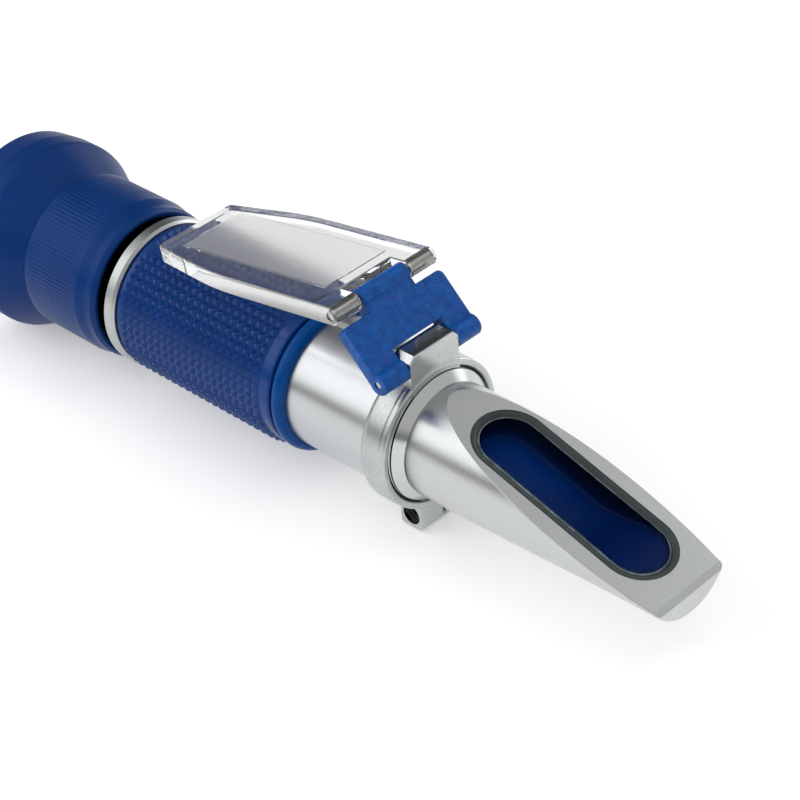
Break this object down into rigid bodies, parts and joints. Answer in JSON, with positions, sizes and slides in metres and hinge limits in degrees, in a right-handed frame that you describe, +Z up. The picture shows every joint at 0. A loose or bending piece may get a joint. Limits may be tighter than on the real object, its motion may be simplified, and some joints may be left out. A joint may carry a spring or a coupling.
{
  "type": "analog refractometer",
  "caption": "Hand-held optical refractometer: sloping prism head with a hinged clear plate, knurled grip and a focusing eyepiece with a soft eyecup.",
  "frame": {"origin": "on the table, below the middle of the instrument's box", "axes": "+X along the barrel towards the prism tip, +Y across, +Z up"},
  "size_m": [0.1764, 0.04, 0.049],
  "materials": {
    "body_tube": "satin, fine turned",
    "prism_head": "satin, fine blasted",
    "clamp": "blasted casting",
    "steel_pins": "polished",
    "steel_screw": "blackened",
    "prism_glass": "polished, dark",
    "prism_seal": "matt",
    "link_plastic": "moulded, satin",
    "clear_acrylic": "moulded clear",
    "grip_rubber": "moulded, small pyramids",
    "bead_rubber": "moulded, smooth",
    "trim_bright": "bright turned",
    "black_metal": "black anodised",
    "lens_glass": "polished",
    "brass_parts": "turned",
    "skirt_plastic": "ribbed",
    "eyecup_rubber": "soft, smooth"
  },
  "bodies": {
    "barrel": {"barrel_tube": "body_tube", "head_housing": "prism_head", "main_prism": "prism_glass", "prism_seal": "prism_seal", "clamp_ring": "clamp", "clamp_screw": "steel_screw", "front_bead": "bead_rubber", "grip_sleeve": "grip_rubber", "trim_ring": "trim_bright", "objective_cell": "black_metal", "objective_crown": "lens_glass", "objective_flint": "lens_glass", "objective_retainer": "black_metal", "light_baffle": "black_metal", "reticle_cell": "black_metal", "reticle_disc": "lens_glass", "reticle_retainer": "black_metal", "focus_bush": "black_metal", "guide_pin": "steel_pins"},
    "link": {"hinge_link": "link_plastic", "lower_hinge_pin": "steel_pins"},
    "plate": {"daylight_plate": "clear_acrylic", "upper_hinge_pin": "steel_pins"},
    "eyepiece": {"eyepiece_tube": "brass_parts", "field_lens": "lens_glass", "lens_spacer": "black_metal", "eye_lens": "lens_glass", "eye_retainer": "black_metal"},
    "focuser": {"focus_ring": "skirt_plastic", "capture_ring": "black_metal", "eyecup": "eyecup_rubber"}
  },
  "joints": [
    {"name": "link_hinge", "type": "hinge", "parent": "barrel", "child": "link", "pos_m": [0.0287, 0, 0.0369], "axis": [0, 1, 0], "range_deg": [0, 158.5]},
    {"name": "plate_hinge", "type": "hinge", "parent": "link", "child": "plate", "pos_m": [0.0184, 0, 0.0472], "axis": [0, 1, 0], "range_deg": [0, 48.4]},
    {"name": "focus_slide", "type": "slide", "parent": "barrel", "child": "eyepiece", "axis": [1, 0, 0], "range_m": [-0.00151, 0.00151]},
    {"name": "focus_turn", "type": "hinge", "parent": "eyepiece", "child": "focuser", "pos_m": [-0.0596, 0, 0.02], "axis": [1, 0, 0], "range_deg": [-90, 90]}
  ],
  "couplings": [
    {"joint": "focus_slide", "follows": "focus_turn", "m_per_rad": 0.00095493}
  ]
}
